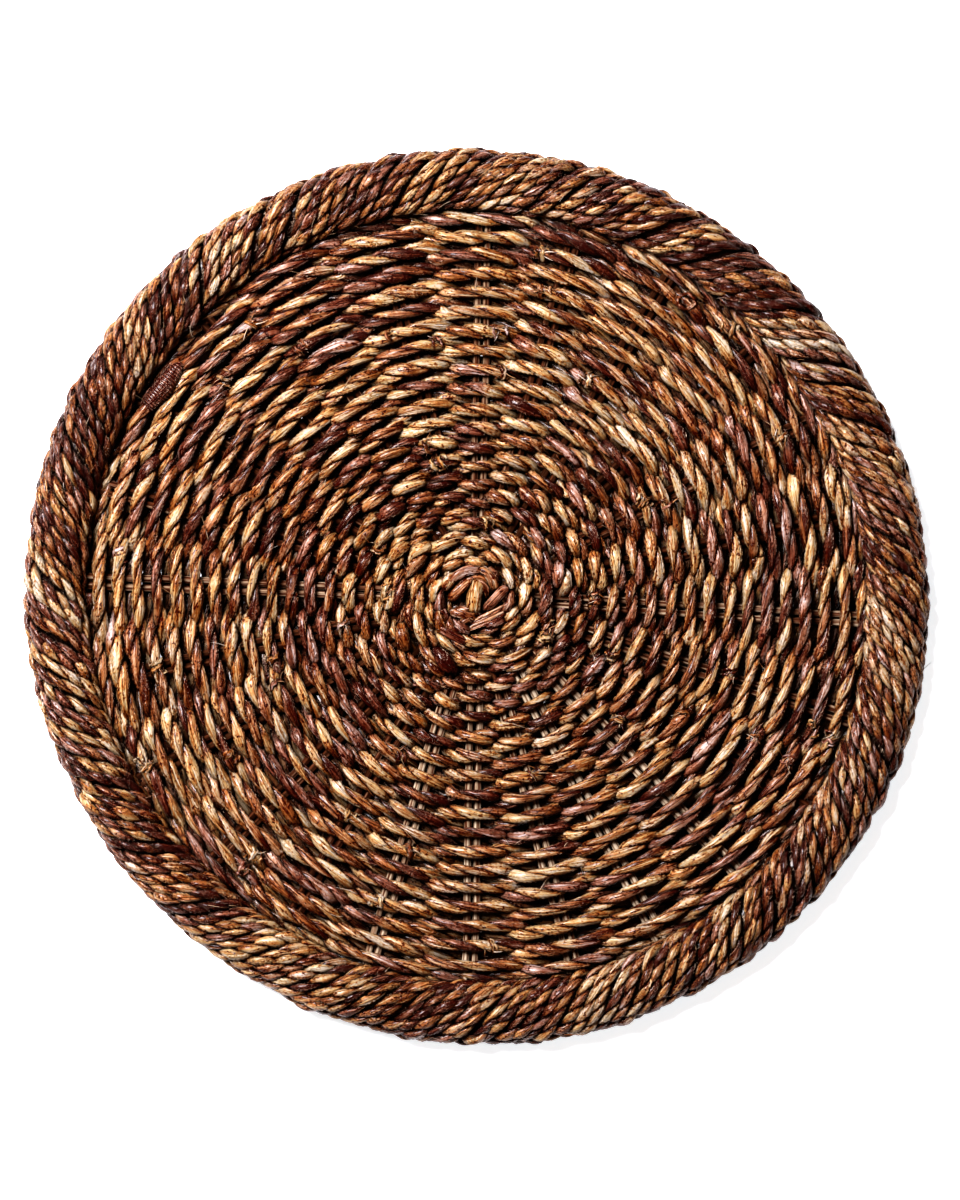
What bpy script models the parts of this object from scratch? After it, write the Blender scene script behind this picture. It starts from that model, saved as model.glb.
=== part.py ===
"""Round rope charger: a plate mat woven of twisted plant rope over paired rattan reeds,
finished with a thick rolled rim. Metres, +Z up, origin under the middle of the mat at table level."""

import math

import bmesh
import bpy
from mathutils import Vector

MM = 0.001

# Driving dimensions, in millimetres. Radii are for the mean circle of the slightly oval plate.
CLEARANCE = 0.3  # gap between neighbouring pieces
OVERCUT = 2.0  # how far a cutter runs out of the piece that it cuts
OVAL = 0.0115  # the plate is this share longer along its long axis, and shorter across it
OVAL_TURN_DEG = -32.0  # direction of the long axis

# The woven mat
ROPE_ROWS = 38
ROW_PITCH = 4.05
FIRST_ROW_R = 8.2
MAT_EDGE_R = 162.9
MAT_UNDERSIDE_Z = 1.6
ROW_VALLEY_Z = 10.0
ROW_CREST_Z = 12.0
KNOT_TOP_Z = 12.6  # the start of the weave, a small knot in the middle
KNOT_SHOULDER_DROP = 0.6
EDGE_TOP_DROP = 1.0  # the last row falls away at the edge, above and below
EDGE_CHAMFER = 2.0

# The reeds, which lie in pairs
PAIRS = 24
PAIR_LEAN_DEG = (
    0.0, -1.0, -0.6, 1.4, 0.0, 0.4, 1.4, 1.4, 0.0, 0.4, 0.9, -0.6,
    0.0, -0.1, -1.6, -2.0, -0.8, -0.1, 0.1, -0.6, -1.2, -0.8, -2.6, -0.8,
)  # how far each pair stands off an even spacing, clockwise from the far side
FIRST_PAIR_DEG = 1.6
REED_D = 3.2
REED_SIDES = 8
REED_SPACING = 3.9  # between the two middles of a pair
REED_Z = 6.8
LONG_REED_START_R = 19.0
SHORT_REED_START_R = 36.0  # every other pair is added once the spokes have spread
REED_END_R = 167.3

# The rolled rim
RIM_INNER_R = 163.3
RIM_WIDTH = 27.0
RIM_HEIGHT = 19.0
RIM_CORDS = 192
RIM_CORD_RELIEF = 1.1  # from the crest of a cord to the groove beside it
RIM_FOOT_INNER_R = 166.5
RIM_FOOT_OUTER_R = 184.0
ROLL_SECTION = (
    # degrees round the roll from its inner side over the top, share of the cord relief
    (0.0, 0.0),
    (40.0, 1.0),
    (76.0, 1.0),
    (112.0, 1.0),
    (150.0, 1.0),
    (190.0, 0.8),
)
STATIONS_PER_CORD = 2  # one on the crest and one in the groove

# sRGB colour, roughness and metallic value of each material
ROPE_FINISH = ("twisted abaca rope", (0.55, 0.38, 0.22), 0.55)
RIM_FINISH = ("twisted abaca rim cord", (0.50, 0.33, 0.19), 0.5)
REED_FINISH = ("rattan core reed", (0.62, 0.54, 0.40), 0.6)


def clear_scene():
    for thing in list(bpy.data.objects):
        bpy.data.objects.remove(thing, do_unlink=True)


def new_collection(name):
    collection = bpy.data.collections.new(name)
    bpy.context.scene.collection.children.link(collection)
    return collection


def material_of(finish):
    name, colour, roughness = finish
    material = bpy.data.materials.new(name)
    material.use_nodes = True
    shader = material.node_tree.nodes["Principled BSDF"]
    linear = [channel**2.2 for channel in colour]
    shader.inputs["Base Color"].default_value = (*linear, 1.0)
    shader.inputs["Roughness"].default_value = roughness
    shader.inputs["Metallic"].default_value = 0.0
    return material


def add_object(name, mesh, collection, parent, material=None):
    thing = bpy.data.objects.new(name, mesh)
    collection.objects.link(thing)
    thing.parent = parent
    if material is not None and not mesh.materials:
        mesh.materials.append(material)
    return thing


def add_cutter(name, mesh, collection, parent):
    cutter = add_object(name, mesh, collection, parent)
    cutter.hide_render = True
    cutter.display_type = "WIRE"
    return cutter


def cut(thing, cutters):
    boolean = thing.modifiers.new("cut", "BOOLEAN")
    boolean.operation = "DIFFERENCE"
    boolean.operand_type = "COLLECTION"
    boolean.collection = cutters
    boolean.solver = "EXACT"


def on_circle(angle, radius, height):
    """A point in metres, from an angle and lengths in millimetres."""
    return Vector((radius * math.cos(angle), radius * math.sin(angle), height)) * MM


def pair_angle(pair):
    """Direction of one pair of reeds, counted clockwise from the far side (+Y)."""
    clockwise = 360.0 * pair / PAIRS + FIRST_PAIR_DEG + PAIR_LEAN_DEG[pair]
    return math.radians(90.0 - clockwise)


def pair_start(pair):
    return SHORT_REED_START_R if pair % 2 else LONG_REED_START_R


def mat_profile():
    """Half section of the mat as (radius, height): the knot, one ridge for each row, the edge."""
    points = [(0.0, KNOT_TOP_Z), (FIRST_ROW_R - ROW_PITCH, KNOT_TOP_Z - KNOT_SHOULDER_DROP)]
    for row in range(ROPE_ROWS):
        crest = FIRST_ROW_R + row * ROW_PITCH
        points += [(crest - ROW_PITCH / 2, ROW_VALLEY_Z), (crest, ROW_CREST_Z)]
    points += [(MAT_EDGE_R, ROW_VALLEY_Z - EDGE_TOP_DROP)]
    points += [(MAT_EDGE_R, MAT_UNDERSIDE_Z + EDGE_CHAMFER)]
    points += [(MAT_EDGE_R - EDGE_CHAMFER, MAT_UNDERSIDE_Z), (0.0, MAT_UNDERSIDE_Z)]
    return points


def build_mat(collection, parent, channels):
    """The rope rows as one ridged disc, with an open channel under each pair of reeds."""
    points = mat_profile()
    mesh = bpy.data.meshes.new("woven_mat")
    vertices = [on_circle(0.0, radius, height) for radius, height in points]
    edges = [(index, index + 1) for index in range(len(points) - 1)]
    mesh.from_pydata(vertices, edges, [])
    mat = add_object("woven_mat", mesh, collection, parent, material_of(ROPE_FINISH))
    mat.rotation_euler.z = pair_angle(0)
    turn = mat.modifiers.new("turn", "SCREW")
    turn.axis = "Z"
    turn.angle = 2 * math.pi
    turn.steps = PAIRS
    turn.render_steps = PAIRS
    turn.use_merge_vertices = True
    turn.merge_threshold = 0.0001
    turn.use_smooth_shade = True
    cut(mat, channels)


def box_mesh(name, length, width, height):
    """A box that starts at x = 0 and is centred across and in height, in millimetres."""
    shape = bmesh.new()
    bmesh.ops.create_cube(shape, size=1.0)
    bmesh.ops.scale(shape, vec=Vector((length, width, height)) * MM, verts=shape.verts)
    bmesh.ops.translate(shape, vec=(length * MM / 2, 0.0, 0.0), verts=shape.verts)
    mesh = bpy.data.meshes.new(name)
    shape.to_mesh(mesh)
    shape.free()
    return mesh


def add_radial_cutters(collection, parent, name, starts_r, end_r, top_z):
    """One box for each pair of reeds, clear of them by the set gap on each side."""
    width = REED_SPACING + REED_D + 2 * CLEARANCE
    bottom_z = REED_Z - REED_D / 2 - CLEARANCE
    for pair, start_r in enumerate(starts_r):
        mesh = box_mesh(f"{name}_{pair + 1:02d}", end_r - start_r, width, top_z - bottom_z)
        cutter = add_cutter(mesh.name, mesh, collection, parent)
        cutter.location = on_circle(pair_angle(pair), start_r, (bottom_z + top_z) / 2)
        cutter.rotation_euler.z = pair_angle(pair)


def reed_mesh(name, length):
    """A straight reed along +X that starts at x = 0."""
    shape = bmesh.new()
    bmesh.ops.create_cone(
        shape,
        cap_ends=True,
        segments=REED_SIDES,
        radius1=REED_D * MM / 2,
        radius2=REED_D * MM / 2,
        depth=length * MM,
    )
    for vertex in shape.verts:
        x, y, z = vertex.co
        vertex.co = (z + length * MM / 2, y, -x)
    mesh = bpy.data.meshes.new(name)
    shape.to_mesh(mesh)
    shape.free()
    mesh.shade_smooth()
    return mesh


def build_reeds(collection, parent):
    """Two straight reeds side by side in each channel, their ends tucked into the rim."""
    finish = material_of(REED_FINISH)
    meshes = {}
    for pair in range(PAIRS):
        start_r = pair_start(pair)
        if start_r not in meshes:
            meshes[start_r] = reed_mesh("reed", REED_END_R - start_r)
        angle = pair_angle(pair)
        across = on_circle(angle + math.pi / 2, REED_SPACING / 2, 0.0)
        for side, label in ((1, "a"), (-1, "b")):
            name = f"reed_{pair + 1:02d}{label}"
            reed = add_object(name, meshes[start_r], collection, parent, finish)
            reed.location = on_circle(angle, start_r, REED_Z) + side * across
            reed.rotation_euler.z = angle


def roll_section():
    """The rim's section as (radius, height, share of the cord relief), round the roll."""
    middle_r = RIM_INNER_R + RIM_WIDTH / 2
    middle_z = RIM_HEIGHT / 2
    section = []
    for degrees, share in ROLL_SECTION:
        turn = math.radians(degrees)
        radius = middle_r - RIM_WIDTH / 2 * math.cos(turn)
        height = middle_z + RIM_HEIGHT / 2 * math.sin(turn)
        section.append((radius, height, share))
    section += [(RIM_FOOT_OUTER_R, 0.0, 0.0), (RIM_FOOT_INNER_R, 0.0, 0.0)]
    return section


def build_rim(collection, parent, pockets):
    """The rolled rim as one solid. Its cords run slantwise round the roll: each step round
    the section moves on by one cord, so the last row of points closes onto the first."""
    section = roll_section()
    middle = Vector((RIM_INNER_R + RIM_WIDTH / 2, RIM_HEIGHT / 2))
    stations = RIM_CORDS * STATIONS_PER_CORD
    shape = bmesh.new()
    rows = []
    for step, (radius, height, share) in enumerate(section):
        outward = (Vector((radius, height)) - middle).normalized()
        row = []
        for station in range(stations):
            groove = station % STATIONS_PER_CORD == 1
            depth = RIM_CORD_RELIEF * share if groove else 0.0
            moved_on = station - STATIONS_PER_CORD * step
            angle = 2 * math.pi * moved_on / stations
            place = Vector((radius, height)) - depth * outward
            row.append(shape.verts.new(on_circle(angle, place.x, place.y)))
        rows.append(row)
    whole_turn = STATIONS_PER_CORD * len(section)
    for step, row in enumerate(rows):
        if step + 1 < len(rows):
            following = rows[step + 1]
        else:
            following = [rows[0][(index - whole_turn) % stations] for index in range(stations)]
        for station in range(stations):
            after = (station + 1) % stations
            corners = (row[station], row[after], following[after], following[station])
            shape.faces.new(corners[:3])
            shape.faces.new((corners[0], corners[2], corners[3]))
    bmesh.ops.recalc_face_normals(shape, faces=shape.faces)
    mesh = bpy.data.meshes.new("rolled_rim")
    shape.to_mesh(mesh)
    shape.free()
    mesh.shade_smooth()
    rim = add_object("rolled_rim", mesh, collection, parent, material_of(RIM_FINISH))
    cut(rim, pockets)


def build_charger():
    clear_scene()
    parts = new_collection("rope_charger")
    channels = new_collection("reed_channel_cutters")
    pockets = new_collection("rim_pocket_cutters")
    oval_frame = bpy.data.objects.new("oval_frame", None)
    parts.objects.link(oval_frame)
    oval_frame.rotation_euler.z = math.radians(OVAL_TURN_DEG)
    oval_frame.scale = (1.0 + OVAL, 1.0 - OVAL, 1.0)
    round_frame = bpy.data.objects.new("round_frame", None)
    parts.objects.link(round_frame)
    round_frame.parent = oval_frame
    round_frame.rotation_euler.z = -oval_frame.rotation_euler.z

    channel_starts = [pair_start(pair) - CLEARANCE for pair in range(PAIRS)]
    add_radial_cutters(
        channels, round_frame, "channel", channel_starts, RIM_INNER_R, KNOT_TOP_Z + OVERCUT
    )
    reed_top_z = REED_Z + REED_D / 2
    add_radial_cutters(
        pockets, round_frame, "pocket", [MAT_EDGE_R - OVERCUT] * PAIRS,
        REED_END_R + CLEARANCE, reed_top_z + CLEARANCE,
    )
    build_mat(parts, round_frame, channels)
    build_reeds(parts, round_frame)
    build_rim(parts, round_frame, pockets)


build_charger()
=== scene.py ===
"""Looks of the round rope charger: reeds, mat ropes, rolled rim, knot, cord end and fibres."""

import math

import bpy
import numpy as np
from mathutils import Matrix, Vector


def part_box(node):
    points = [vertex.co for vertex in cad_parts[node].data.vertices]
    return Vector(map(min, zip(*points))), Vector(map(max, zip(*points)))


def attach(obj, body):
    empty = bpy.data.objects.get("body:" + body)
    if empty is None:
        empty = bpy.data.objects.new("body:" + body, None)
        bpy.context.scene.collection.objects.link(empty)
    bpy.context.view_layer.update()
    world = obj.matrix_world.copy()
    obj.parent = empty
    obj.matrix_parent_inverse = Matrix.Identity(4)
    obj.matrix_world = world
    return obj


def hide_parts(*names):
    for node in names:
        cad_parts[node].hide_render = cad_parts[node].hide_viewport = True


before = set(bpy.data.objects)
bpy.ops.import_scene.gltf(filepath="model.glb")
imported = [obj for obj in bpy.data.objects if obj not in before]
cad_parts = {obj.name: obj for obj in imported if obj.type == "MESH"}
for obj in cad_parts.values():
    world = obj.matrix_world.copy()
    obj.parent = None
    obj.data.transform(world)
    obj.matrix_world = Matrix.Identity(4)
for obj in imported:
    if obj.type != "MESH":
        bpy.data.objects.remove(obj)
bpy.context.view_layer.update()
MM = 0.001

# --- Reeds -------------------------------------------------------------------------------------
# Twenty-four pairs of rattan core, drawn through a die to 3.2 mm and dried, are the spokes that
# the ropes are woven on. They lie straight, side by side, with their outer ends in the rim.

PAIRS = 24  # counted clockwise from the far side
REED_SIDES = 20
REED_GROOVE = 0.22 * MM
REED_STEP = 6.0 * MM
REED_WANDER = 0.22 * MM
REED_INNER_REACH = 5.0 * MM  # the reeds start this much nearer to the middle than their solids
DYE_AND_SHADE_NEAR_MIDDLE = 25.0 * MM  # deep in the close weave the reeds are darker over this length: partly dye, partly painted shade
OPEN_PAIRS = (0, 6, 7, 9, 10, 11, 12, 13, 18)  # here the weave is looser, so the reeds show
PALE_PAIRS = (9, 10, 11, 12, 13)  # and these are drawn paler
OVAL = 0.0115  # the plate is this share longer along its long axis, and shorter across it
OVAL_TURN = math.radians(-32.0)
UP = np.array((0.0, 0.0, 1.0))

reed_low, reed_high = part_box("reed_01a")
REED_RADIUS = (reed_high[2] - reed_low[2]) / 2
REED_Z = (reed_high[2] + reed_low[2]) / 2


def linear_rgb(hex_colour):
    """Linear red, green, blue and alpha of an sRGB hex colour such as "a0703c"."""
    channels = [int(hex_colour[at : at + 2], 16) / 255 for at in (0, 2, 4)]
    linear = [c / 12.92 if c <= 0.04045 else ((c + 0.055) / 1.055) ** 2.4 for c in channels]
    return (*linear, 1.0)


def add_node(tree, kind, settings=None, inputs=None):
    """Adds a node, sets its properties, and sets or links its inputs by name or number."""
    node = tree.nodes.new(kind)
    for name, value in (settings or {}).items():
        setattr(node, name, value)
    for name, value in (inputs or {}).items():
        if isinstance(value, bpy.types.NodeSocket):
            tree.links.new(value, node.inputs[name])
        else:
            node.inputs[name].default_value = value
    return node


def new_material(name):
    """A material with its node tree, its Principled node and nothing else but the output."""
    material = bpy.data.materials.new(name)
    material.use_nodes = True
    return material, material.node_tree, material.node_tree.nodes["Principled BSDF"]


def set_ramp(node, stops):
    """Gives a colour ramp its stops, as (place, sRGB hex colour)."""
    ramp = node.color_ramp
    while len(ramp.elements) < len(stops):
        ramp.elements.new(0.5)
    for element, (place, colour) in zip(ramp.elements, stops):
        element.position = place
        element.color = linear_rgb(colour)


def rounded(point):
    """A place on the oval plate, moved back to the true circle."""
    cos_turn, sin_turn = math.cos(OVAL_TURN), math.sin(OVAL_TURN)
    along = (point[0] * cos_turn + point[1] * sin_turn) / (1 + OVAL)
    across = (point[1] * cos_turn - point[0] * sin_turn) / (1 - OVAL)
    return along * cos_turn - across * sin_turn, along * sin_turn + across * cos_turn


def wander(rng, along, swing, waves=5):
    """A smooth irregular value, mostly within -1 and 1, that swings over about that length."""
    total = np.zeros_like(along)
    for _ in range(waves):
        length = swing * rng.uniform(0.7, 2.4)
        total += np.sin(along * (2 * math.pi / length) + rng.uniform(0, 2 * math.pi))
    return total / waves**0.5


def normalised(vectors):
    """The same directions, each 1 long."""
    return vectors / np.linalg.norm(vectors, axis=-1, keepdims=True)


def frame_along(path, upward):
    """Length along a path, and its two crosswise directions, at each of its points."""
    steps = np.linalg.norm(np.diff(path, axis=0), axis=-1)
    along = np.concatenate([[0.0], np.cumsum(steps)])
    ahead = normalised(np.gradient(path, axis=0))
    upward = normalised(upward - (upward * ahead).sum(-1, keepdims=True) * ahead)
    return along, np.cross(upward, ahead), upward


def round_strand(path, upward, radius, tone, seed):
    """One closed strand along a path. radius has a value for each point round each station, tone
    has the material's three, and seed moves the grain along so that no two strands share it."""
    along, sideways, upward = frame_along(path, upward)
    around = np.arange(radius.shape[1]) * 2 * math.pi / radius.shape[1]
    across, lift = radius * np.cos(around), radius * np.sin(around)
    rings = path[:, None, :] + across[..., None] * sideways[:, None, :]
    rings = rings + lift[..., None] * upward[:, None, :]
    own = np.stack([np.broadcast_to(along[:, None] + seed, radius.shape), across, lift], axis=-1)
    return rings, own, np.broadcast_to(tone, rings.shape)


def tube_piece(name, tubes, material, stands_for=()):
    """Joins closed tubes into one piece. Each tube is (rings, own, tone): the points of its rings,
    the same points on the straightened tube, and three values for the material at each point:
    how light it is, how plum, and how deep in a crease."""
    points, own, tone, corners, counts = [], [], [], [], []
    first = 0
    for rings, straight, values in tubes:
        stations, sides = rings.shape[:2]
        index = first + np.arange(stations * sides).reshape(stations, sides)
        after = np.roll(index, -1, axis=1)
        quads = np.stack([index[:-1], index[1:], after[1:], after[:-1]], axis=-1)
        corners += [quads.reshape(-1), index[0], index[-1][::-1]]
        counts += [np.full((stations - 1) * sides, 4), [sides, sides]]
        points.append(rings.reshape(-1, 3))
        own.append(straight.reshape(-1, 3))
        tone.append(values.reshape(-1, 3))
        first += stations * sides
    points, corners = np.concatenate(points), np.concatenate(corners)
    points[:, 2] = np.maximum(points[:, 2], 0.0)  # what lies on the table is pressed flat
    counts = np.concatenate(counts)
    mesh = bpy.data.meshes.new(name)
    mesh.vertices.add(len(points))
    mesh.vertices.foreach_set("co", points.astype(np.float32).ravel())
    mesh.loops.add(len(corners))
    mesh.loops.foreach_set("vertex_index", corners.astype(np.int32))
    mesh.polygons.add(len(counts))
    starts = np.concatenate([[0], np.cumsum(counts)[:-1]])
    mesh.polygons.foreach_set("loop_start", starts.astype(np.int32))
    for label, values in (("strand", own), ("tone", tone)):
        layer = mesh.attributes.new(label, "FLOAT_VECTOR", "POINT")
        layer.data.foreach_set("vector", np.concatenate(values).astype(np.float32).ravel())
    mesh.update(calc_edges=True)
    mesh.validate()
    mesh.shade_smooth()
    mesh.materials.append(material)
    piece = bpy.data.objects.new(name, mesh)
    bpy.context.scene.collection.objects.link(piece)
    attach(piece, "root")
    if stands_for:
        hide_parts(*stands_for)
    return piece


def make_dried_rattan():
    """Dried rattan core: pale grey tan, dull, with dark pores along the grain. The reed fibres
    are about 0.3 mm wide, which is drawn here at 0.6 mm so that it shows."""
    material, tree, shader = new_material("dried rattan core")
    strand = add_node(tree, "ShaderNodeAttribute", {"attribute_name": "strand"}).outputs["Vector"]
    tone = add_node(tree, "ShaderNodeAttribute", {"attribute_name": "tone"}).outputs["Vector"]
    tone = add_node(tree, "ShaderNodeSeparateXYZ", inputs={0: tone}).outputs
    grain_place = add_node(
        tree, "ShaderNodeMapping", inputs={"Vector": strand, "Scale": (60, 1600, 1600)}
    ).outputs[0]
    grain = add_node(
        tree, "ShaderNodeTexNoise", inputs={"Vector": grain_place, "Scale": 1.0, "Detail": 3.0}
    ).outputs["Fac"]
    mixed = add_node(
        tree, "ShaderNodeMath", {"operation": "MULTIPLY_ADD"}, {0: grain, 1: 1.5, 2: tone["X"]}
    ).outputs[0]
    ramp = add_node(tree, "ShaderNodeValToRGB", inputs={"Fac": mixed})
    set_ramp(ramp, [(0.2, "140502"), (0.45, "33180c"), (0.7, "574839"), (1.0, "7c7060")])
    bump = add_node(
        tree, "ShaderNodeBump", inputs={"Height": grain, "Strength": 0.7, "Distance": 0.0003}
    )
    tree.links.new(ramp.outputs["Color"], shader.inputs["Base Color"])
    tree.links.new(bump.outputs["Normal"], shader.inputs["Normal"])
    shader.inputs["Roughness"].default_value = 0.6
    shader.inputs["Specular IOR Level"].default_value = 0.15
    shader.inputs["Specular Tint"].default_value = linear_rgb("d89a68")
    return material


def reed_ends(node):
    """Middles of a reed's inner and outer end, from its solid."""
    corners = np.array([v.co[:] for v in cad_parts[node].data.vertices])
    reach = np.hypot(corners[:, 0], corners[:, 1])
    near = corners[reach < reach.min() + 3 * MM].mean(axis=0)
    far = corners[reach > reach.max() - 3 * MM].mean(axis=0)
    return near, far


def drawn_reed(rng, near, far, lightness, dye_and_shade):
    """One reed, a little squarer than round, with grooves along it that are painted darker as shade.
    dye_and_shade is how much darker it starts in the middle: partly dye, partly painted shade."""
    direction = (far - near) / np.linalg.norm(far - near)
    near = near - direction * REED_INNER_REACH
    length = np.linalg.norm(far - near)
    along = np.linspace(0, length, int(length / REED_STEP))
    sideways = np.array((-direction[1], direction[0], 0.0))
    middle = near + along[:, None] * direction
    middle += (wander(rng, along, 50 * MM) * REED_WANDER)[:, None] * sideways
    groove = np.where(np.arange(REED_SIDES) % 4 == rng.integers(4), REED_GROOVE, 0.0)
    angle = np.arange(REED_SIDES) * 2 * math.pi / REED_SIDES
    squarish = (np.abs(np.cos(angle)) ** 3 + np.abs(np.sin(angle)) ** 3) ** (-1 / 3)
    radius = REED_RADIUS * np.minimum(squarish, 1.09) - groove
    radius = radius[None, :] * (1 + 0.04 * wander(rng, along, 20 * MM))[:, None]
    tone = np.zeros((len(along), REED_SIDES, 3))
    tone[..., 0] = (lightness + 0.08 * wander(rng, along, 30 * MM))[:, None]
    # Painted shade: the sides in a groove are drawn darker
    tone[..., 0] -= np.where(groove > 0, 0.35, 0.0)[None, :]
    # Darker towards the middle: partly dye, partly painted shade under the close weave
    tone[..., 0] -= dye_and_shade * np.clip(1 - along / DYE_AND_SHADE_NEAR_MIDDLE, 0, 1)[:, None]
    return round_strand(middle, UP, radius, tone, rng.uniform(0, 5))


dried_rattan = make_dried_rattan()
pair_clockwise = []  # clockwise angle of each pair from the far side, on the true circle
for pair in range(PAIRS):
    nodes = [f"reed_{pair + 1:02d}{side}" for side in "ab"]
    rng = np.random.default_rng(100 + pair)
    lightness = 0.1 if pair in PALE_PAIRS else -0.25 if pair in OPEN_PAIRS else -0.5
    lightness += rng.uniform(-0.12, 0.12)
    dye_and_shade = 0.4 if pair > 0 else 0.0  # the first pair shows pale right from the middle
    ends = [reed_ends(node) for node in nodes]
    tubes = [drawn_reed(rng, near, far, lightness, dye_and_shade) for near, far in ends]
    outer_end = rounded(np.mean([far for _, far in ends], axis=0))
    pair_clockwise.append(math.pi / 2 - math.atan2(outer_end[1], outer_end[0]))
    tube_piece(f"reed_pair_{pair + 1:02d}", tubes, dried_rattan, nodes)
pair_clockwise = np.unwrap(np.array(pair_clockwise) % (2 * math.pi))


# --- Mat ropes ---------------------------------------------------------------------------------
# Two ropes of twisted leaf strips chase each other round in a spiral, one over the reeds where the
# other goes under. Each is two plies laid up right-handed, from split leaf that dried unevenly.

ROW_PITCH = 4.05 * MM
FIRST_ROW_R = 6.6 * MM
ROPE_ROWS = 38
PLY_OFFSET = 1.27 * MM  # from the middle of the rope to the middle of a ply
PLY_DEPTH = 1.78 * MM  # half of a ply, measured away from the rope's middle
PLY_BREADTH = 2.35 * MM  # half of a ply, measured round the rope
INNER_LAY = 20.5 * MM  # length of one whole turn of the plies, near the middle and further out
OUTER_LAY = 25.0 * MM
ROPE_STEP = 1.8 * MM
WEAVE_LIFT = 3.55 * MM  # how far the rope rises over a reed
ROW_DRIFT = 0.55 * MM
SHADE_REACH = 6.0 * MM  # painted shade darkens a strand where others lie nearer than this
SPREAD_R = 33.0 * MM  # from here out every pair is woven, further in every other one
TUCK_R = 162.4 * MM  # the last rows press against the rim here and slip down under it

# Kinds of leaf strip that a ply is spliced from: how many of them, how light, and how plum
LEAF_STRIPS = (
    {"share": 0.17, "light": 0.08, "plum": 1.00},  # near black and waxy
    {"share": 0.18, "light": 0.26, "plum": 0.45},  # umber
    {"share": 0.20, "light": 0.43, "plum": 0.15},  # red brown
    {"share": 0.12, "light": 0.38, "plum": 1.00},  # grey plum
    {"share": 0.23, "light": 0.54, "plum": 0.05},  # tan
    {"share": 0.10, "light": 0.62, "plum": 0.00},  # straw
)


def pick_strip(rng, lighter=0.0):
    """Lightness and plum tint of one leaf strip."""
    kind = LEAF_STRIPS[rng.choice(len(LEAF_STRIPS), p=[strip["share"] for strip in LEAF_STRIPS])]
    return kind["light"] + lighter + 0.06 * rng.normal(), kind["plum"] + 0.1 * rng.normal()


def along_splices(rng, along, shortest, longest, pick, blend=2.5 * MM):
    """Values along a ply made of spliced strips, each strip with its own pick."""
    ends, values = [along[0] - longest * rng.random()], [pick()]
    while ends[-1] < along[-1]:
        ends.append(ends[-1] + rng.uniform(shortest, longest))
        values.append(pick())
    ends, values = np.array(ends), np.array(values)
    places = np.stack([ends - blend, ends + blend], axis=-1).ravel()[1:-1]
    doubled = np.repeat(values, 2, axis=0)[:-2]
    return np.stack([np.interp(along, places, column) for column in doubled.T], axis=-1)


def lay_rope(rng, path, upward, pick, lay, width=1.0, height=1.0, size=1.0, sides=10):
    """The two plies of a rope laid along a path, right-handed. pick gives the tint of a strip, lay
    is the length of one turn, width and height squeeze the rope, and size is its thickness."""
    along, sideways, upward = frame_along(path, upward)
    lay = lay * (1 + 0.13 * wander(rng, along, 60 * MM))
    turn = 2 * math.pi * np.cumsum(np.gradient(along) / lay)
    turn = turn + rng.uniform(0, 2 * math.pi)
    around = np.arange(sides) * 2 * math.pi / sides
    tubes = []
    for ply in range(2):
        phase = (turn + ply * math.pi)[:, None]
        uneven = 0.16 * wander(rng, along, 22 * MM, waves=3)
        uneven = uneven + 0.11 * wander(rng, along, 150 * MM, waves=3)
        thick = (size * np.maximum(1 + uneven, 0.92))[:, None]
        # The leaf is rolled lengthwise, so its folds run along the ply
        leaf_angle = around + phase
        folds = np.zeros_like(leaf_angle)
        for count, depth in ((2, 0.08), (3, 0.08), (4, 0.07)):
            drift = along[:, None] * (2 * math.pi / (rng.uniform(30, 90) * MM))
            folds += depth * np.sin(count * leaf_angle + drift + rng.uniform(0, 2 * math.pi))
        swell = thick * np.maximum(1 + folds + 0.03 * rng.normal(size=folds.shape), 0.9)
        outward = PLY_OFFSET * thick + PLY_DEPTH * swell * np.cos(around)
        round_rope = PLY_BREADTH * swell * np.sin(around)
        across = outward * np.cos(phase) - round_rope * np.sin(phase)
        lift = outward * np.sin(phase) + round_rope * np.cos(phase)
        across = across * np.reshape(width, (-1, 1))
        lift = lift * np.reshape(height, (-1, 1))
        rings = path[:, None, :] + across[..., None] * sideways[:, None, :]
        rings = rings + lift[..., None] * upward[:, None, :]
        own = np.stack(
            [
                np.broadcast_to(along[:, None] + rng.uniform(0, 50), swell.shape),
                PLY_BREADTH * np.cos(leaf_angle),
                PLY_BREADTH * np.sin(leaf_angle),
            ],
            axis=-1,
        )
        tone = np.empty((len(along), sides, 3))
        tone[..., :2] = along_splices(rng, along, 20 * MM, 100 * MM, pick)[:, None, :]
        # How deep a point lies in the crease between the plies, 0 on the crest and 1 at the core.
        # The leaf is painted darker by it, as shade.
        depth = 1 - np.hypot(outward, round_rope) / (PLY_OFFSET + PLY_DEPTH)
        tone[..., 2] = np.clip(3.2 * depth - 0.55, 0, 1)
        tubes.append((rings, own, tone))
    return tubes


# Half the leaf dries golden brown and half a greyer plum, both near black where they are darkest
GOLDEN_LEAF = (
    (0.0, "2c0501"),
    (0.2, "421d04"),
    (0.42, "6b4019"),
    (0.62, "7a6340"),
    (0.8, "7f6f57"),
    (1.0, "83796c"),
)
PLUM_LEAF = (
    (0.0, "240403"),
    (0.2, "3a160a"),
    (0.42, "583223"),
    (0.62, "6f584e"),
    (0.8, "786a66"),
    (1.0, "847c79"),
)


def add_painted_crevice_shade(tree, colour):
    """Painted shade: deepens a colour to a dark red brown where strands lie close together."""
    openness = add_node(
        tree, "ShaderNodeAmbientOcclusion", {"samples": 4}, {"Distance": SHADE_REACH}
    )
    depth = add_node(
        tree,
        "ShaderNodeMapRange",
        inputs={
            "Value": openness.outputs["AO"],
            "From Min": 0.1,
            "From Max": 0.7,
            "To Min": 2.3,
            "To Max": 1.0,
        },
    )
    return add_node(
        tree, "ShaderNodeGamma", inputs={"Color": colour, "Gamma": depth.outputs["Result"]}
    ).outputs["Color"]


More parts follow.
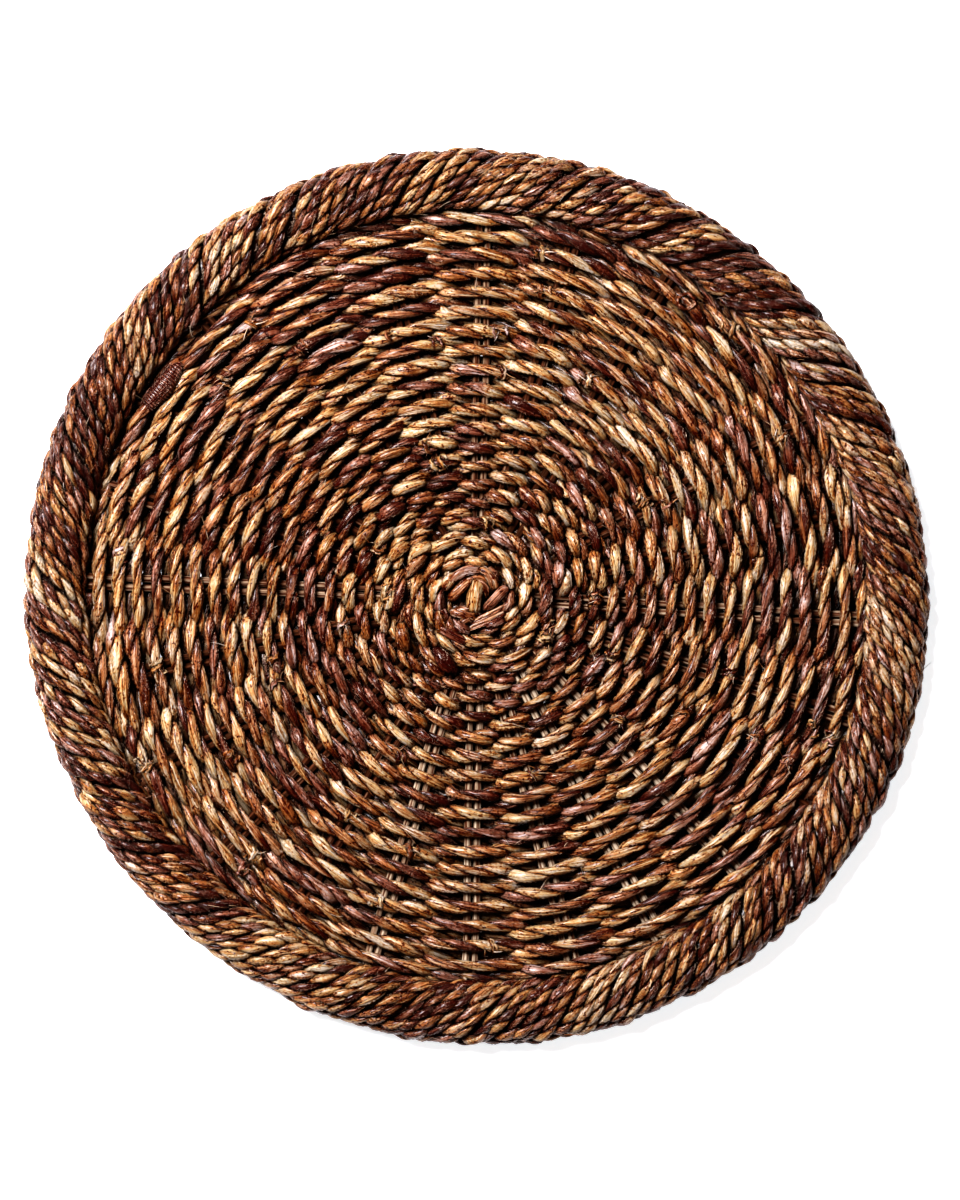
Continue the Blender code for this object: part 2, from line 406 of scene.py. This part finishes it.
def make_twisted_leaf(name, gloss):
    """Twisted dried leaf: golden to plum brown with dark cracks and specks along the fibres, and a
    waxy half gloss. Its fibres are about 0.15 mm wide, drawn at 1 mm so that they show."""
    material, tree, shader = new_material(name)
    strand = add_node(tree, "ShaderNodeAttribute", {"attribute_name": "strand"}).outputs["Vector"]
    tone = add_node(tree, "ShaderNodeAttribute", {"attribute_name": "tone"}).outputs["Vector"]
    tone = add_node(tree, "ShaderNodeSeparateXYZ", inputs={0: tone}).outputs
    # Each noise has so many spots to a metre, along the ply and across it
    noises = []
    for scale, detail in (
        ((60, 1000, 1000), 3.0),  # fibres, 1 mm wide
        ((170, 380, 380), 4.0),  # blotches, 6 mm long and half as wide
        ((520, 700, 700), 1.0),  # specks, at most 2 mm long
        ((45, 750, 750), 1.0),  # cracks, 20 mm long
        ((35, 330, 330), 1.0),  # folds of the rolled leaf, 3 mm wide
    ):
        place = add_node(tree, "ShaderNodeMapping", inputs={"Vector": strand, "Scale": scale})
        noise = add_node(
            tree,
            "ShaderNodeTexNoise",
            inputs={"Vector": place.outputs[0], "Scale": 1.0, "Detail": detail, "Roughness": 0.65},
        )
        noises.append(noise.outputs["Fac"])
    fibre, blotch, specks, rift, fold = noises
    speck = add_node(
        tree, "ShaderNodeMapRange", inputs={"Value": specks, "From Min": 0.62, "From Max": 0.66}
    ).outputs["Result"]
    from_rift = add_node(tree, "ShaderNodeMath", {"operation": "SUBTRACT"}, {0: rift, 1: 0.5})
    from_rift = add_node(
        tree, "ShaderNodeMath", {"operation": "ABSOLUTE"}, {0: from_rift.outputs[0]}
    ).outputs[0]
    whole = add_node(
        tree, "ShaderNodeMapRange", inputs={"Value": from_rift, "From Min": 0.0, "From Max": 0.06}
    ).outputs["Result"]  # 0 in a crack, 1 away from it
    # The sum is how light the leaf is here, and it picks a golden and a plum brown
    light = tone["X"]
    for value, weight in (
        (fibre, 1.7),
        (blotch, 1.4),
        (fold, 0.5),
        (tone["Z"], -0.6),  # painted shade, darker in the creases between plies
        (whole, 0.3),
        (speck, -0.5),
        (1.0, -2.0),  # takes off what the noises add on average
    ):
        light = add_node(
            tree, "ShaderNodeMath", {"operation": "MULTIPLY_ADD"}, {0: value, 1: weight, 2: light}
        ).outputs[0]
    golden = add_node(tree, "ShaderNodeValToRGB", inputs={"Fac": light})
    set_ramp(golden, GOLDEN_LEAF)
    plum = add_node(tree, "ShaderNodeValToRGB", inputs={"Fac": light})
    set_ramp(plum, PLUM_LEAF)
    # Plum strips are plum all over, and the others have a touch of it in their blotches
    share = add_node(
        tree, "ShaderNodeMath", {"operation": "MULTIPLY_ADD"}, {0: blotch, 1: 1.2, 2: tone["Y"]}
    ).outputs[0]
    share = add_node(tree, "ShaderNodeMath", {"operation": "SUBTRACT"}, {0: share, 1: 0.6})
    colour = add_node(
        tree,
        "ShaderNodeMix",
        {"data_type": "RGBA"},
        {"Factor": share.outputs[0], "A": golden.outputs["Color"], "B": plum.outputs["Color"]},
    ).outputs["Result"]
    # Painted shade, darker and redder where other strands lie close
    crevice_shaded = add_painted_crevice_shade(tree, colour)
    # The darkest leaf is the glossiest
    gloss_here = add_node(
        tree,
        "ShaderNodeMapRange",
        inputs={"Value": light, "From Max": 0.7, "To Min": gloss, "To Max": 0.56},
    )
    # Fibres and folds stand up, and cracks are sunk
    height = fibre
    for value, weight in ((whole, 0.4), (fold, 1.2)):
        height = add_node(
            tree, "ShaderNodeMath", {"operation": "MULTIPLY_ADD"}, {0: value, 1: weight, 2: height}
        ).outputs[0]
    bump = add_node(
        tree, "ShaderNodeBump", inputs={"Height": height, "Strength": 1.0, "Distance": 0.001}
    )
    tree.links.new(crevice_shaded, shader.inputs["Base Color"])
    tree.links.new(gloss_here.outputs["Result"], shader.inputs["Roughness"])
    shader.inputs["Specular IOR Level"].default_value = 0.34
    shader.inputs["Specular Tint"].default_value = linear_rgb("ffe0c0")
    shader.inputs["Coat Weight"].default_value = 0.12
    shader.inputs["Coat Roughness"].default_value = 0.16
    tree.links.new(bump.outputs["Normal"], shader.inputs["Normal"])
    return material


mat_leaf = make_twisted_leaf("twisted abaca leaf", 0.24)


def smooth_step(value, low, high):
    """0 up to low, 1 from high on, and a smooth rise between them."""
    share = np.clip((value - low) / (high - low), 0, 1)
    return share * share * (3 - 2 * share)


def close_weave(radius):
    """1 in the close weave round the middle, 0 outside it."""
    return 1 - smooth_step(radius, 28 * MM, 45 * MM)


def spoke_count(clockwise):
    """How many pairs of reeds a rope has passed at that clockwise angle, with parts of one."""
    turns = np.floor((clockwise - pair_clockwise[0]) / (2 * math.pi))
    rest = clockwise - 2 * math.pi * turns
    places = np.append(pair_clockwise, pair_clockwise[0] + 2 * math.pi)
    return np.interp(rest, places, np.arange(PAIRS + 1)) + turns * PAIRS


def stretched(points):
    """Points laid out on a true circle, moved to the plate's slightly oval outline."""
    cos_turn, sin_turn = math.cos(OVAL_TURN), math.sin(OVAL_TURN)
    along = (points[..., 0] * cos_turn + points[..., 1] * sin_turn) * (1 + OVAL)
    across = (points[..., 1] * cos_turn - points[..., 0] * sin_turn) * (1 - OVAL)
    oval = points.copy()
    oval[..., 0] = along * cos_turn - across * sin_turn
    oval[..., 1] = along * sin_turn + across * cos_turn
    return oval


def on_plate(clockwise, radius, height):
    """Points at a clockwise angle, a distance from the plate's middle and a height."""
    flat = np.stack([radius * np.sin(clockwise), radius * np.cos(clockwise), height], axis=-1)
    return stretched(flat)


def row_drift(clockwise, radius):
    """How far the rows at a place have been pushed outwards; rows that touch drift together."""
    rng = np.random.default_rng(5)
    waves = 8
    across, along = radius * np.sin(clockwise), radius * np.cos(clockwise)
    total = np.zeros_like(radius)
    for _ in range(waves):
        heading, length = rng.uniform(0, 2 * math.pi), rng.uniform(50, 120) * MM
        ahead = across * math.cos(heading) + along * math.sin(heading)
        total += np.sin(ahead * (2 * math.pi / length) + rng.uniform(0, 2 * math.pi))
    inside = smooth_step(radius, 20 * MM, 50 * MM) - smooth_step(radius, 125 * MM, 160 * MM)
    return ROW_DRIFT * total / waves**0.5 * inside


def mat_rope_path(rng, rope):
    """Middle line of one of the two ropes, how high it rides on the reeds, how far it is from the
    plate's middle, and whether it crosses one of the pairs where the weave is looser."""
    # The spiral from end to end, in clockwise angles that count on from turn to turn
    first = -1.05 * math.pi - 0.45 * math.pi * rope
    last = math.pi * (ROPE_ROWS + 1.5 - rope)
    fine = np.linspace(first, last, 40000)
    free = FIRST_ROW_R + ROW_PITCH * (fine / math.pi + rope)
    radius = np.maximum(free, 2.2 * MM)
    crowd = 4 * MM  # the width of the band next to the rim where the rows close up
    pressed = TUCK_R - crowd + crowd * np.tanh((radius - TUCK_R + crowd) / crowd)
    radius = np.where(radius > TUCK_R - crowd, pressed, radius)
    # The same spiral in even steps along the rope
    length = np.concatenate([[0], np.cumsum(radius[1:] * np.diff(fine))])
    stations = np.linspace(0, length[-1], int(length[-1] / ROPE_STEP))
    clockwise = np.interp(stations, length, fine)
    radius = np.interp(stations, length, radius)
    free = np.interp(stations, length, free)
    # Over one pair of reeds and under the next
    passed = spoke_count(clockwise)
    full = np.cos(math.pi * (passed + rope))
    every_other = np.cos(math.pi * (passed / 2 + rope))
    start = stations[np.argmax((radius > SPREAD_R) & (np.abs(passed % 4) < 0.1))]
    ride = np.where(stations < start, every_other, full)
    ride = np.tanh(1.5 * ride) / math.tanh(1.5)  # stiff leaf bends over a short length
    inner = close_weave(radius)
    ride *= smooth_step(radius, 7 * MM, 15 * MM) * (1 - 0.22 * inner)
    # Rows drift, crests differ in height, and both ends dive, under the knot and under the rim
    radius = radius + row_drift(clockwise, radius) + 0.15 * MM * wander(rng, stations, 60 * MM)
    lift = WEAVE_LIFT * ride * (1 + 0.12 * wander(rng, stations, 70 * MM))
    lift += 0.45 * MM * wander(rng, stations, 120 * MM)
    lift += 1.3 * MM * inner  # the close weave bulges a little
    begins = (1.6 - 1.4 * rope) * math.pi  # before here the rope runs under the knot
    lift -= 3.2 * MM * (1 - smooth_step(clockwise, begins - 0.3 * math.pi, begins))
    lift -= 4.0 * MM * smooth_step(free, TUCK_R - 3 * MM, TUCK_R + 2 * MM)
    loose = np.isin(np.round(passed) % PAIRS, OPEN_PAIRS)
    return on_plate(clockwise, radius, REED_Z + lift), ride, radius, loose


MAT_SPLITS = 2
mat_paths = []
for rope in range(2):
    rng = np.random.default_rng(11 + rope)
    path, ride, radius, loose = mat_rope_path(rng, rope)
    mat_paths.append((path, ride))
    strong = np.abs(ride)
    run = np.arange(len(path)) * ROPE_STEP
    swollen = 1 + 0.06 * wander(rng, run, 120 * MM)
    swollen += 0.09 * close_weave(radius)
    plies = lay_rope(
        rng,
        path,
        UP,
        lambda: pick_strip(rng),
        lay=INNER_LAY + (OUTER_LAY - INNER_LAY) * smooth_step(radius, 30 * MM, 70 * MM),
        width=1.12 + (0.05 * wander(rng, run, 90 * MM) - np.where(loose, 0.26, 0.13)) * strong,
        height=1.0 - 0.15 * strong,
        size=swollen,
    )
    for part in range(MAT_SPLITS):
        cut = [len(path) * share // MAT_SPLITS for share in (part, part + 1)]
        span = slice(cut[0], min(cut[1] + 1, len(path)))
        pieces = [tuple(values[span] for values in ply) for ply in plies]
        name = f"mat_rope_{'ab'[rope]}_{('inner', 'outer')[part]}"
        tube_piece(name, pieces, mat_leaf, ["woven_mat"])


# --- Rolled rim --------------------------------------------------------------------------------
# The edge is a roll of the same leaf, wound closely with slanting two-ply cords that hide the
# reed ends. Each cord comes up inside the rim, crosses the top and goes under outside.

rim_low, rim_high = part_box("rolled_rim")
RIM_HEIGHT = rim_high[2] - rim_low[2]
RIM_OUTER_R = (rim_high[0] - rim_low[0] + rim_high[1] - rim_low[1]) / 4
RIM_WIDTH = 27.0 * MM
RIM_CORDS = 192
RIM_LAY = 15.5 * MM
CORD_HALF = 2.6 * MM
CORD_FROM, CORD_TO = math.radians(-100), math.radians(250)  # round the roll from its inner side
CORD_LEAN = math.radians(38)  # this far round the roll a cord has moved on by one cord's spacing
CORD_ADVANCE = 2 * math.pi / RIM_CORDS / CORD_LEAN
CORD_STEP = 1.5 * MM  # between stations, where the roll is 12 mm from its middle
CORD_STATIONS = int((CORD_TO - CORD_FROM) * 12 * MM / CORD_STEP)
CORD_SIDES = 8
RIM_ARCS = 4
CORE_SIDES = 12
CORE_STATIONS = 160

ROLL_R = RIM_OUTER_R - RIM_WIDTH / 2
ROLL_Z = RIM_HEIGHT / 2


def on_roll(clockwise, turn, proud):
    """Points on the roll, turn radians round it from its inner side, proud of the cords' middle
    by that much, with the direction that faces out of the roll there."""
    wide = RIM_WIDTH / 2 - CORD_HALF + proud
    tall = RIM_HEIGHT / 2 - CORD_HALF + proud
    path = on_plate(clockwise, ROLL_R - wide * np.cos(turn), ROLL_Z + tall * np.sin(turn))
    out = -np.cos(turn) / wide
    facing = [out * np.sin(clockwise), out * np.cos(clockwise), np.sin(turn) / tall]
    return path, normalised(np.stack(facing, axis=-1))


rim_leaf = make_twisted_leaf("twisted abaca leaf of the rim", 0.22)
rng = np.random.default_rng(31)
ring = np.arange(RIM_CORDS) * ROLL_R * 2 * math.pi / RIM_CORDS  # each cord's place round the rim
patch = 0.1 * wander(rng, ring, 70 * MM)
# Runs of cord that dried darker or lighter: middle, half width, both in degrees, and the change
for middle, half, change in (
    (0, 4, -0.3),
    (21, 3, -0.25),
    (29, 4, 0.2),
    (34, 1.5, -0.5),
    (39, 3, 0.1),
    (43.5, 3, -0.9),
    (51, 5, 0.25),
    (64, 4, -0.3),
    (75, 5, 0.2),
    (86, 4, -0.25),
    (97, 5, 0.2),
    (108, 4, -0.25),
    (143, 3, 0.2),
    (150, 4, -0.3),
    (174, 4, -0.3),
    (294, 3, -0.3),
    (315, 5, -0.3),
    (324, 5, 0.2),
    (342, 3, -0.25),
):
    degrees = (np.arange(RIM_CORDS) * 360 / RIM_CORDS - middle + 180) % 360 - 180
    patch += 0.7 * change * np.exp(-((degrees / half) ** 2))
arcs = [[] for _ in range(RIM_ARCS)]
turn = np.linspace(CORD_FROM, CORD_TO, CORD_STATIONS)
for cord in range(RIM_CORDS):
    sway = 0.12 * rng.normal() + 0.12 * wander(rng, turn, 3.0, waves=2)  # 1 is a whole cord aside
    clockwise = 2 * math.pi * (cord + sway) / RIM_CORDS + CORD_ADVANCE * (turn - math.pi / 2)
    path, facing = on_roll(clockwise, turn, 0.35 * MM * rng.normal())
    lighter = -0.02 + patch[cord] + 0.05 * rng.normal()
    arcs[cord * RIM_ARCS // RIM_CORDS] += lay_rope(
        rng,
        path,
        facing,
        lambda: pick_strip(rng, lighter),
        lay=RIM_LAY,
        width=0.9,
        height=0.88,
        size=0.93 * (1 + 0.07 * rng.normal()),
        sides=CORD_SIDES,
    )
for arc, tubes in enumerate(arcs):
    tube_piece(f"rim_cords_{arc + 1}", tubes, rim_leaf, ["rolled_rim"])

# The bundle of leaf inside the roll, seen only between the cords; its near black is painted shade
core_clockwise = np.linspace(0, 2.02 * math.pi, CORE_STATIONS)  # its ends overlap a little
core_path = on_plate(core_clockwise, np.full(CORE_STATIONS, ROLL_R), np.full(CORE_STATIONS, ROLL_Z))
core_angle = np.arange(CORE_SIDES) * 2 * math.pi / CORE_SIDES
core_wide, core_tall = RIM_WIDTH / 2 - 1.6 * CORD_HALF, RIM_HEIGHT / 2 - 1.6 * CORD_HALF
core_radius = 1 / np.hypot(np.cos(core_angle) / core_wide, np.sin(core_angle) / core_tall)
core_radius = np.broadcast_to(core_radius, (CORE_STATIONS, CORE_SIDES))
# Near black and deep in a crease: painted shade for the gaps between the cords
core = round_strand(core_path, UP, core_radius, (0.1, 0.3, 0.6), 0.0)
tube_piece("rim_core", [core], rim_leaf)


# --- Starting knot -----------------------------------------------------------------------------
# In the middle the first turns are tied off: a stub of folded leaf, a short arch of rope over it,
# a crumpled bundle of leaf ends on the near side, and a few strips that lead out of it.


def smooth_path(corners, step=0.9 * MM):
    """A smooth line that follows a few corner points."""
    corners = np.array(corners, float)
    runs = np.concatenate([[0], np.cumsum(np.linalg.norm(np.diff(corners, axis=0), axis=1))])
    count = max(int(runs[-1] / step), 7)
    places = np.linspace(0, runs[-1], count)
    path = np.stack([np.interp(places, runs, column) for column in corners.T], axis=-1)
    for _ in range(count // 3):
        path[1:-1] = (path[:-2] + 2 * path[1:-1] + path[2:]) / 4
    return path


def leaf_strip(rng, path, half_width, flat, light, plum, sides=8):
    """One strip of leaf rolled lengthwise and pressed flat, narrower at both ends."""
    share = np.linspace(0, 1, len(path))[:, None]
    taper = np.minimum(1, 0.35 + 5 * np.minimum(share, 1 - share))
    around = np.arange(sides) * 2 * math.pi / sides
    folds = 0.14 * np.sin(3 * around + 5 * share + rng.uniform(0, 6)) + 0.05 * rng.normal(
        size=(len(path), sides)
    )
    radius = half_width * taper * (1 + folds) / np.hypot(np.cos(around), np.sin(around) / flat)
    return round_strand(path, UP, radius, (light, plum, 0.0), rng.uniform(0, 50))


rng = np.random.default_rng(71)
knot = []
# The strips one by one: corner points and half width in mm, lightness and plum tint
for corners, half_width, light, plum in (
    ([(0.4, 7, 9.6), (-0.2, 3.6, 12.2), (-1, -2.6, 12.2), (-1.6, -7, 9.6)], 3.3, 0.56, 0.0),  # stub
    ([(-3.4, 4.2, 11.4), (0.4, 5, 12.7), (3.6, 2.8, 12), (4, -1, 10.6)], 0.8, 0.36, 0.4),
    ([(-2.6, 6, 11.4), (1.6, 6.6, 12.5), (4.8, 3.6, 12), (4.8, 0, 10.6)], 0.8, 0.26, 0.6),
    ([(-8, 3, 10.6), (-4, 7.2, 12), (1.4, 8.6, 12), (5.4, 5.6, 10.8)], 1.3, 0.3, 0.4),
    ([(-12, -1.6, 10.4), (-9.2, 1.2, 12.2), (-5.6, 4.6, 12.5), (-2.2, 7.6, 10.8)], 2.2, 0.36, 0.3),
    ([(-12.6, 3.4, 10), (-10, 8, 12.2), (-4.6, 11.2, 12.7), (3.2, 11.6, 10.6)], 2.3, 0.36, 0.8),
    ([(0, 12, 10.6), (4.4, 10.4, 12.3), (7, 6.4, 12.3), (7.8, 2.2, 10.2)], 2.1, 0.42, 0.4),
    ([(2.8, -5.8, 10.6), (6, -2.6, 12.5), (9.8, 1.2, 12.6), (13.4, 4.4, 10.4)], 2.2, 0.38, 0.8),
    ([(-17.4, -0.5, 8.6), (-15, -5, 10.4), (-11.6, -11, 9.6)], 1.6, 0.3, 0.9),
    ([(-17.6, -12, 10.4), (-11, -16, 12), (-3.8, -20, 10.6)], 1.9, 0.08, 1.0),
):
    path = smooth_path(np.array(corners) * MM)
    knot.append(leaf_strip(rng, path, half_width * MM, 0.8, light, plum, sides=12))
CRUMPLED_STRIPS = 8
CRUMPLED_AT = np.array((-4.9, -7.8, 12.4)) * MM
CRUMPLED_SPREAD = np.array((1.6, 1.3, 0.4)) * MM
for _ in range(CRUMPLED_STRIPS):
    heading = rng.uniform(-0.9, 0.9)
    ahead = np.array((math.cos(heading), math.sin(heading), 0.0)) * rng.uniform(2.5, 5.5) * MM
    middle = CRUMPLED_AT + rng.normal(size=3) * CRUMPLED_SPREAD
    bend = np.array((0, 0, -1.8 * MM))
    path = smooth_path([middle - ahead + bend, middle, middle + ahead + bend])
    light, plum = rng.uniform(0.25, 0.5), rng.uniform(0.2, 0.7)
    knot.append(leaf_strip(rng, path, rng.uniform(1.1, 1.9) * MM, 0.7, light, plum))
for strip, light in enumerate((0.15, 0.5, 0.25, 0.4)):  # the strips that lead out of it
    aside = 1.3 * strip
    lead = [(-4 + aside * 0.5, -14.5 + aside, 11), (4, -11.5 + aside, 12.3), (12.6, -7 + aside, 11)]
    knot.append(leaf_strip(rng, smooth_path(np.array(lead) * MM), 0.85 * MM, 0.9, light, 0.5))
tube_piece("starting_knot", knot, mat_leaf)


# --- Wound cord end and torn eye ---------------------------------------------------------------
# On the far left, in the groove beside the rim, the rope's end is bound with fine dark cord. On the
# far right a strip has torn and left a small eye with ragged ends round it; its dark is painted shade.


def strand_places(middle, heading, offsets):
    """Points along a heading from a middle point; each offset is (ahead, aside, up), in mm."""
    offsets = np.array(offsets, float) * MM
    ahead = np.array((math.cos(heading), math.sin(heading), 0.0))
    aside = np.array((-math.sin(heading), math.cos(heading), 0.0))
    return (
        np.array(middle) * MM + offsets[:, :1] * ahead + offsets[:, 1:2] * aside + offsets[:, 2:] * UP
    )


BOUND_PITCH = 1.3 * MM
BOUND_SIDES = 18
BOUND_STEP = 0.32 * MM
BOUND_HALF = 4.5 * MM  # half width of the whole binding
bound_corners = strand_places(
    (-131.6, 88.7, 11.0), math.radians(53), [(-13, 0.5, -1.5), (0, 0, 1), (12, 0.5, -1)]
)
bound_path = smooth_path(bound_corners, BOUND_STEP)
bound_run = np.arange(len(bound_path))[:, None] * BOUND_STEP
share = bound_run / bound_run[-1]
around = np.arange(BOUND_SIDES) * 2 * math.pi / BOUND_SIDES
swelling = np.sqrt(np.clip(1 - (1.9 * (share - 0.47)) ** 2, 0.04, 1))  # thickest near its middle
ribs = np.cos(2 * math.pi * bound_run / BOUND_PITCH + around)  # one rib for each turn of cord
radius = (BOUND_HALF * swelling + 0.2 * MM * ribs) / np.hypot(np.cos(around), np.sin(around) / 0.9)
tone = np.zeros((len(bound_path), BOUND_SIDES, 3))
# Painted shade: lighter on each turn of cord and darker in the grooves between turns
tone[..., 0], tone[..., 1] = 0.2 + 0.08 * ribs, 1.0
tone[..., 2] = 0.5 - 0.5 * ribs
bound_end = round_strand(bound_path, UP, radius, tone, 3.0)
TORN_STRIPS = 12
TORN_AT = (88.2, 124.2, 12.6)  # in mm
rng = np.random.default_rng(73)
torn = []
for strip in range(TORN_STRIPS):
    angle = 2 * math.pi * strip / TORN_STRIPS + 0.3 * rng.normal()
    corners = []
    for lead in (-0.75, 0.0, 0.75):
        reach = rng.uniform(2.8, 4.6)
        across, along = reach * math.cos(angle + lead), 0.85 * reach * math.sin(angle + lead)
        corners.append(np.array((across, along, 0.4 * rng.normal() - 1.2 * abs(lead))) + TORN_AT)
    light = rng.choice((0.0, 0.15, 0.4))
    path = smooth_path(np.array(corners) * MM, 0.7 * MM)
    torn.append(leaf_strip(rng, path, rng.uniform(0.5, 0.9) * MM, 0.7, light, 0.6))
# The eye is a flat near-black strip: painted shade for the hole
eye = smooth_path(np.array([(86.4, 125.6, 10.6), (88.2, 124.2, 11), (90, 122.8, 10.6)]) * MM)
torn.append(leaf_strip(rng, eye, 2.8 * MM, 0.25, -0.8, 0.5))
tube_piece("bound_cord_end", [bound_end, *torn], mat_leaf)


# --- Splices and loose fibres ------------------------------------------------------------------
# Where one strip of leaf runs out, the next is caught under a short wrap whose ends stay frayed.
# Fine fibres have also come loose all over the ropes and the rim.


def fibre(rng, start, heading, length, radius, light):
    """One loose fibre: it leaves the rope low, then bends away."""
    aside = normalised(rng.normal(size=3) * (1, 1, 0.5))
    share = np.linspace(0, 1, 7)[:, None]
    path = start + length * (share * heading + 0.35 * share**2 * aside)
    taper = 1 - 0.6 * share
    return round_strand(path, UP, radius * taper * np.ones(3), (light, 0.3, 0.0), rng.uniform(0, 9))


def wrap_round(rng, path, at, light, plum):
    """A strip wound about once round a rope at one of its points."""
    count = 20
    share = np.linspace(0, 1, count)
    _, sideways, upward = frame_along(path[at - 3 : at + 4], np.broadcast_to(UP, (7, 3)))
    span = rng.uniform(4, 8) * MM
    ahead = normalised(path[at + 2] - path[at - 2])
    angle = rng.uniform(0, 6) + 2 * math.pi * rng.uniform(0.8, 1.5) * share
    around = np.cos(angle)[:, None] * sideways[3] * 2.6 * MM
    around = around + np.sin(angle)[:, None] * upward[3] * 2.7 * MM
    bent = 0.3 * MM * rng.normal(size=(count, 3))
    wrap = path[at] + (share[:, None] - 0.5) * span * ahead + around + bent
    return leaf_strip(rng, wrap, rng.uniform(0.6, 1.1) * MM, 0.6, light, plum, sides=6)


SPLICES = 46
MAT_FIBRES = 420
RIM_FIBRES = 150
UNDER_RIM = 400  # this many stations at the outer end of a mat rope lie close to the rim or under it
rng = np.random.default_rng(81)
tubes = []
for splice in range(SPLICES):
    path, ride = mat_paths[splice % 2]
    crests = np.flatnonzero(ride > 0.5)
    at = rng.choice(crests[(crests > 200) & (crests < len(path) - UNDER_RIM)])
    light, plum = pick_strip(rng)
    for _ in range(rng.integers(1, 4)):
        tubes.append(wrap_round(rng, path, at, light + 0.1 * rng.normal(), plum))
    ahead = normalised(path[at + 2] - path[at - 2])
    for _ in range(rng.integers(4, 9)):
        start = path[at] + np.array((0, 0, 2.6 * MM)) + 1.2 * MM * rng.normal(size=3) * (1, 1, 0)
        heading = normalised(ahead * rng.choice((-1, 1)) + 0.7 * rng.normal(size=3) * (1, 1, 0.4))
        width = rng.uniform(0.2, 0.45) * MM
        tubes.append(fibre(rng, start, heading, rng.uniform(2, 5) * MM, width, rng.uniform(0.2, 0.9)))
for _ in range(MAT_FIBRES):
    path, ride = mat_paths[rng.integers(2)]
    at = rng.integers(60, len(path) - UNDER_RIM)
    if ride[at] < -0.2:
        continue
    ahead = normalised(path[at + 2] - path[at - 2]) * rng.choice((-1, 1))
    start = path[at] + np.array((0, 0, 2.5 * MM))
    heading = normalised(ahead + 0.45 * rng.normal(size=3) * (1, 1, 0.5))
    width = rng.uniform(0.13, 0.26) * MM
    tubes.append(fibre(rng, start, heading, rng.uniform(3, 9) * MM, width, rng.uniform(0.1, 1.0)))
tube_piece("mat_splices", tubes, mat_leaf)

tubes = []
for _ in range(RIM_FIBRES):
    clockwise, turn = rng.uniform(0, 2 * math.pi), rng.uniform(0.2, 2.7)
    path, facing = on_roll(np.array([clockwise, clockwise + 0.01]), np.array([turn, turn + 0.12]), 0)
    start = path[0] + facing[0] * 2.5 * MM
    heading = normalised(normalised(path[1] - path[0]) * rng.choice((-1, 1)) + 0.5 * rng.normal(size=3))
    heading = normalised(heading + 0.25 * facing[0])
    width = rng.uniform(0.12, 0.24) * MM
    tubes.append(fibre(rng, start, heading, rng.uniform(3, 7) * MM, width, rng.uniform(0.1, 0.9)))
tube_piece("rim_fibres", tubes, rim_leaf)


# --- Floor, light and camera -------------------------------------------------------------------
# A plain white floor that glows faintly round the plate, one large soft lamp from the far left,
# a dim warm room, and a camera straight above with a long lens.

# Matt white paper: an even white with no gloss. Away from the plate it glows, up to pure white:
# painted light that fills in the plate's shadow on the floor.
material, tree, shader = new_material("matt white paper")
shader.inputs["Base Color"].default_value = linear_rgb("ffffff")
shader.inputs["Roughness"].default_value = 0.9
shader.inputs["Emission Color"].default_value = linear_rgb("e0eff6")
place = add_node(tree, "ShaderNodeNewGeometry").outputs["Position"]
from_middle = add_node(
    tree, "ShaderNodeVectorMath", {"operation": "LENGTH"}, {0: place}
).outputs["Value"]
glow = add_node(
    tree,
    "ShaderNodeMapRange",
    inputs={"Value": from_middle, "From Min": 0.175, "From Max": 0.19, "To Max": 0.65},
)
tree.links.new(glow.outputs["Result"], shader.inputs["Emission Strength"])
FLOOR_HALF = 3.0
floor_mesh = bpy.data.meshes.new("floor")
corners = [(x * FLOOR_HALF, y * FLOOR_HALF, 0) for x, y in ((-1, -1), (1, -1), (1, 1), (-1, 1))]
floor_mesh.from_pydata(corners, [], [(0, 1, 2, 3)])
floor_mesh.materials.append(material)
floor = bpy.data.objects.new("floor", floor_mesh)
floor.location.z = rim_low[2] - 0.2 * MM
bpy.context.scene.collection.objects.link(floor)


lamp = bpy.data.lights.new("key", "AREA")
lamp.size = 0.7
lamp.energy = 160
lamp.color = linear_rgb("f4f6ff")[:3]
lamp_stand = bpy.data.objects.new("key", lamp)
lamp_stand.location = (-0.75, 0.75, 1.35)
lamp_stand.rotation_euler = lamp_stand.location.to_track_quat("Z", "Y").to_euler()
bpy.context.scene.collection.objects.link(lamp_stand)

world = bpy.data.worlds.new("studio")
world.use_nodes = True
world.node_tree.nodes["Background"].inputs["Color"].default_value = linear_rgb("ffb078")
world.node_tree.nodes["Background"].inputs["Strength"].default_value = 0.19
bpy.context.scene.world = world
bpy.context.scene.view_settings.view_transform = "Standard"
bpy.context.scene.view_settings.look = "High Contrast"

FRAME_HEIGHT = 0.508  # what the camera takes in, from near to far, at the height of the table
CAMERA_DISTANCE = 2.4
lens = bpy.data.cameras.new("camera")
lens.sensor_fit = "VERTICAL"
lens.sensor_height = 24
lens.lens = lens.sensor_height * CAMERA_DISTANCE / FRAME_HEIGHT
camera = bpy.data.objects.new("camera", lens)
camera.location = (1.3 * MM, -1.5 * MM, CAMERA_DISTANCE)
bpy.context.scene.collection.objects.link(camera)
bpy.context.scene.camera = camera
